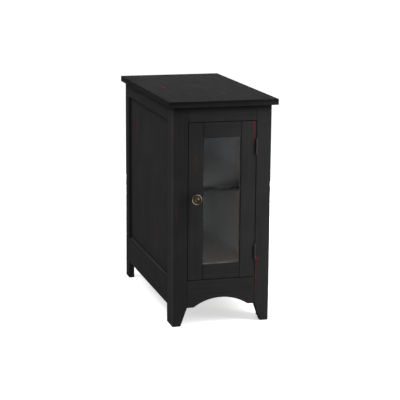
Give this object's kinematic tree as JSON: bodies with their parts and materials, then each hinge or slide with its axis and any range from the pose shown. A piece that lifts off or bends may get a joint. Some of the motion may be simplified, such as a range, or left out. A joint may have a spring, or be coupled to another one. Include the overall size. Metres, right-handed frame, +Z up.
{
  "type": "storage side table with door",
  "caption": "Narrow side table cabinet with an overhanging top, framed sides, an arched apron and a glazed door that swings open on butt hinges over a shelf.",
  "frame": {"origin": "on the floor, under the middle of the whole table's box", "axes": "+Z up, the door faces -Y, +X to the right seen from the front"},
  "size_m": [0.298, 0.564, 0.61],
  "materials": {
    "black_paint": "satin black paint over wood, lightly rubbed through to red at the edges",
    "painted_board": "thin fibreboard, black paint",
    "pine": "planed, unpainted",
    "beech": "turned, unpainted",
    "glass": "lightly satined glass: what is close behind it shows sharp, what is far behind blurs",
    "antique_brass": "antiqued, bright on the rims",
    "aged_bronze": "dark aged bronze",
    "zinc_steel": "bright zinc",
    "brown_plastic": "moulded, matt",
    "ferrite": "pressed ferrite, dull"
  },
  "bodies": {
    "case": {"back_bottom_rail": "black_paint", "back_nails": "zinc_steel", "back_panel": "painted_board", "back_top_rail": "black_paint", "bottom_cleat_left": "pine", "bottom_cleat_right": "pine", "bottom_panel": "black_paint", "bottom_screws": "zinc_steel", "catch_body": "brown_plastic", "catch_magnet": "ferrite", "catch_screws": "zinc_steel", "face_frame_dowels": "beech", "face_frame_left_stile": "black_paint", "face_frame_right_stile": "black_paint", "face_frame_top_rail": "black_paint", "front_apron": "black_paint", "hinge_frame_screws": "aged_bronze", "left_side_bottom_rail": "black_paint", "left_side_front_stile": "black_paint", "left_side_panel": "black_paint", "left_side_rear_stile": "black_paint", "left_side_top_rail": "black_paint", "lower_hinge_frame_leaf": "aged_bronze", "lower_hinge_pin": "aged_bronze", "right_side_bottom_rail": "black_paint", "right_side_front_stile": "black_paint", "right_side_panel": "black_paint", "right_side_rear_stile": "black_paint", "right_side_top_rail": "black_paint", "shelf_pins": "zinc_steel", "top_cleat_left": "pine", "top_cleat_right": "pine", "top_panel": "black_paint", "top_screws": "zinc_steel", "upper_hinge_frame_leaf": "aged_bronze", "upper_hinge_pin": "aged_bronze"},
    "door": {"door_bottom_rail": "black_paint", "door_glass": "glass", "door_knob": "antique_brass", "door_left_stile": "black_paint", "door_right_stile": "black_paint", "door_top_rail": "black_paint", "glass_bead_bottom": "pine", "glass_bead_left": "pine", "glass_bead_right": "pine", "glass_bead_top": "pine", "hinge_door_screws": "aged_bronze", "knob_screw": "zinc_steel", "lower_hinge_door_leaf": "aged_bronze", "strike_plate": "zinc_steel", "strike_screw": "zinc_steel", "upper_hinge_door_leaf": "aged_bronze"},
    "shelf": {"shelf": "black_paint"}
  },
  "joints": [
    {"name": "door_hinge", "type": "hinge", "parent": "case", "child": "door", "pos_m": [0.09375, -0.2668, 0.339], "axis": [0, 0, 1], "range_deg": [0, 175]},
    {"name": "shelf_lift", "type": "slide", "parent": "case", "child": "shelf", "axis": [0, 0, 1], "range_m": [0, 0.02]}
  ]
}
